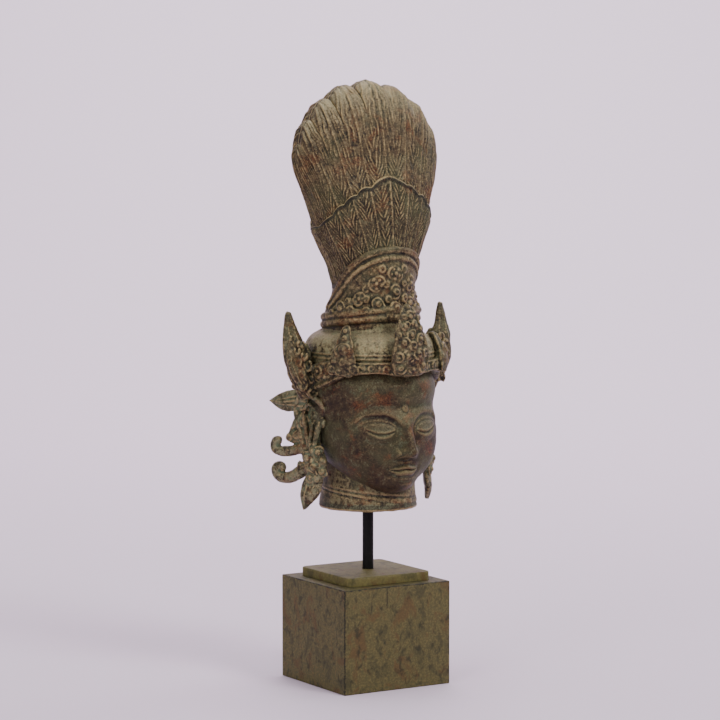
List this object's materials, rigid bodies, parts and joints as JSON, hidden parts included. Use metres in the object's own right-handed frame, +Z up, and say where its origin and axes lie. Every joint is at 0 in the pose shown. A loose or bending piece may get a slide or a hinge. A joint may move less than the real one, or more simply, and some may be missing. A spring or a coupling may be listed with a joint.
{
  "type": "bronze deity bust on stand",
  "caption": "Bronze deity head with a diadem and a tall feather headdress, held by a round rod above a square painted plinth.",
  "frame": {"origin": "middle of the plinth block's underside", "axes": "+Z up; the figure faces -Y and its left side is +X"},
  "size_m": [0.1584, 0.1294, 0.4896],
  "materials": {
    "aged_bronze": "brown and olive patina with verdigris, low gloss",
    "black_rod": "matt black",
    "painted_cap": "matt mottled paint, dusty",
    "painted_block": "matt mottled olive paint"
  },
  "bodies": {
    "root": {"bronze_head": "aged_bronze", "mount_rod": "black_rod", "plinth_cap": "painted_cap", "plinth_block": "painted_block"}
  },
  "joints": []
}
